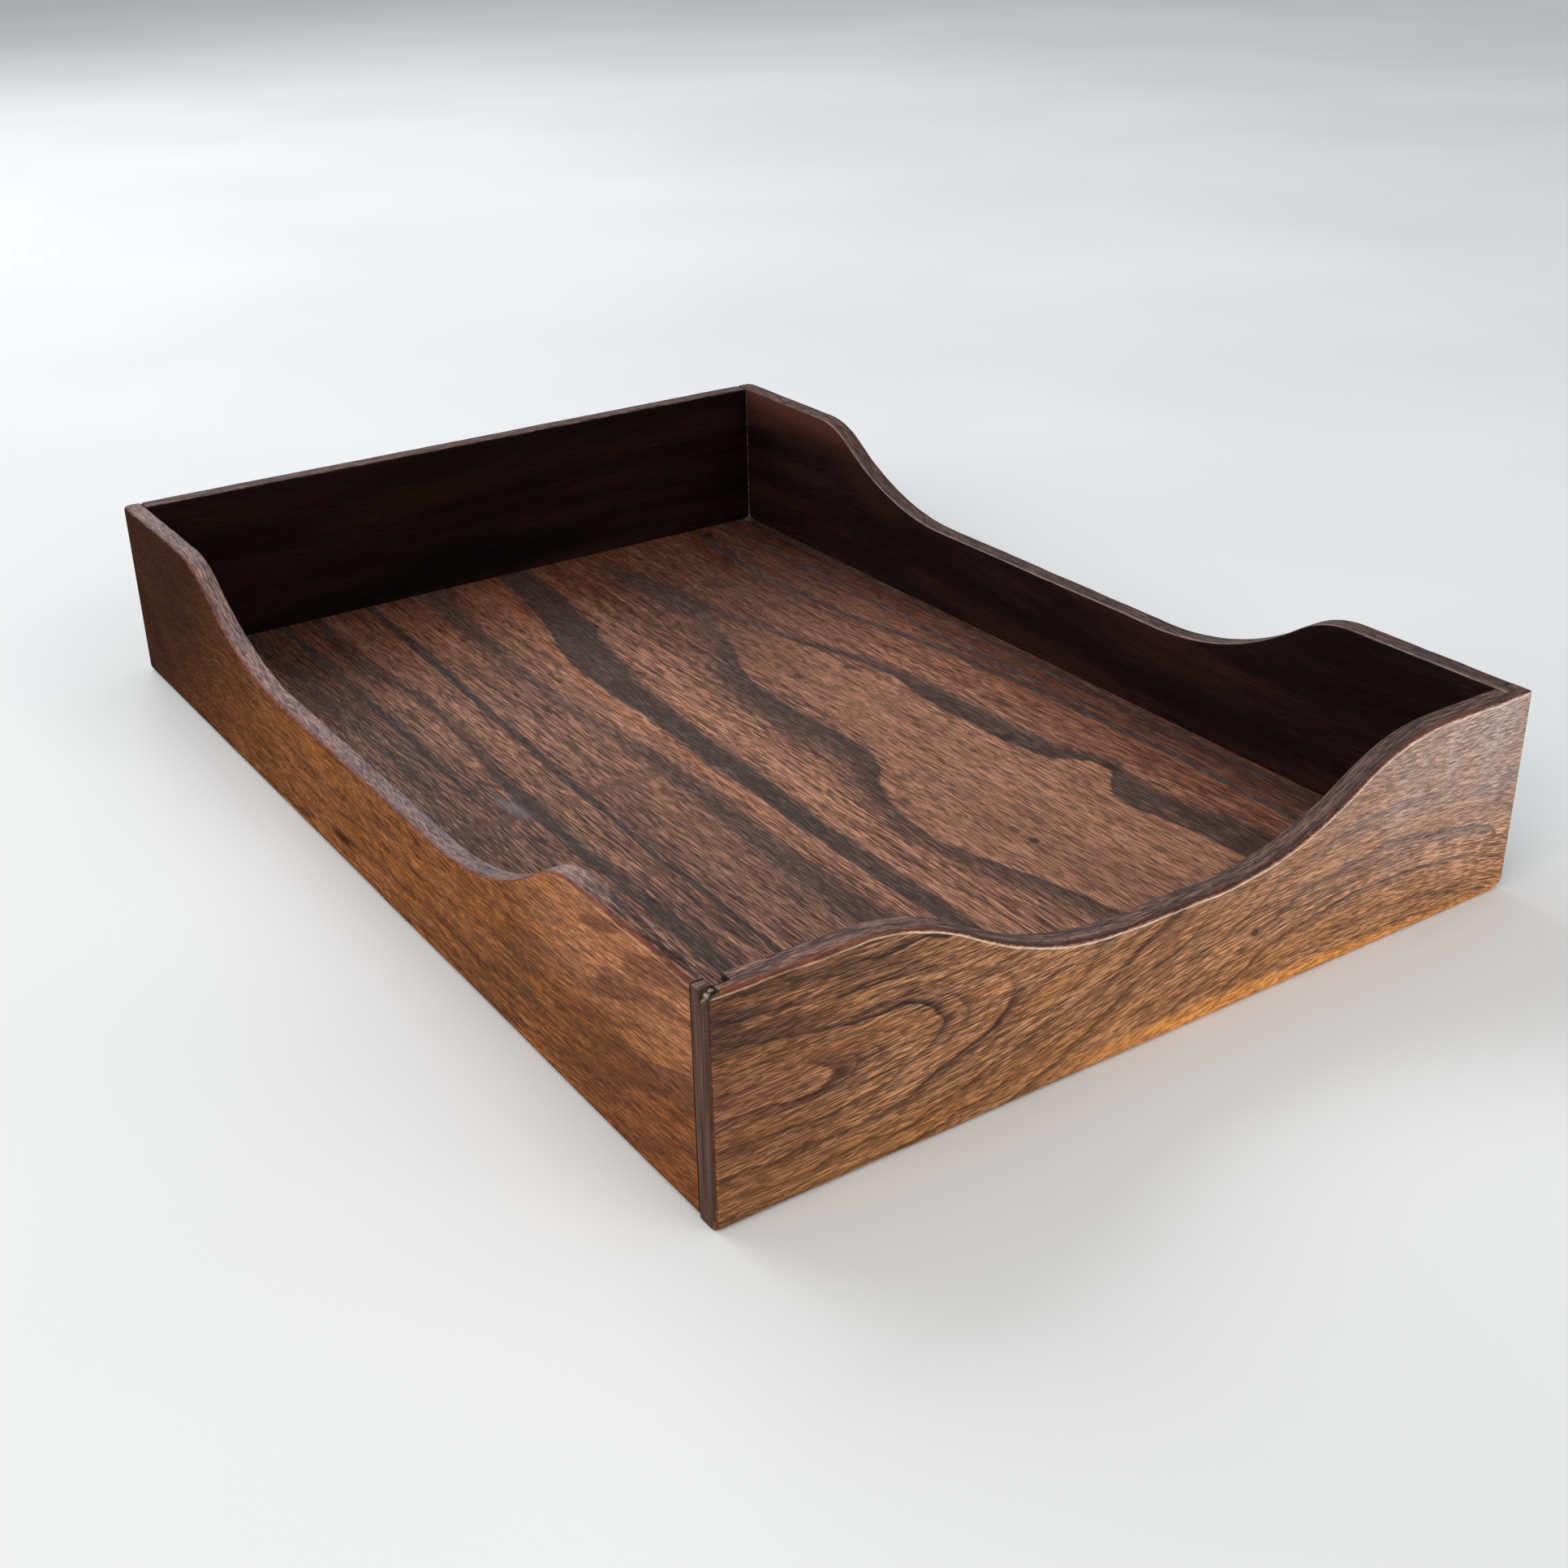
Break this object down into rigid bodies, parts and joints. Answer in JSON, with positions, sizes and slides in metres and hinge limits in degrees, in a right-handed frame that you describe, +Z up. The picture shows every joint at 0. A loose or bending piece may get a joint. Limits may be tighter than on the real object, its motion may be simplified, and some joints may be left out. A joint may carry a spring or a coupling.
{
  "type": "letter tray",
  "caption": "Open wooden desk tray for legal-size paper, with scooped front and side walls and a veneered floor.",
  "frame": {"origin": "middle of the tray's footprint, on the table under it", "axes": "+Z up, +Y along the long sides towards the straight back board, +X to the right when looking at the scooped front board from outside"},
  "size_m": [0.266, 0.392, 0.062],
  "materials": {
    "walnut_front": "satin",
    "walnut_side": "satin",
    "walnut_back": "satin",
    "plywood_core": "raw",
    "figured_veneer": "satin",
    "plain_veneer": "matte",
    "dried_glue": "dull"
  },
  "bodies": {
    "root": {"front_panel": "walnut_front", "back_panel": "walnut_back", "left_side": "walnut_side", "right_side": "walnut_side", "floor_core": "plywood_core", "floor_face_veneer": "figured_veneer", "floor_back_veneer": "plain_veneer", "front_left_glue": "dried_glue", "front_right_glue": "dried_glue", "back_left_glue": "dried_glue", "back_right_glue": "dried_glue"}
  },
  "joints": []
}
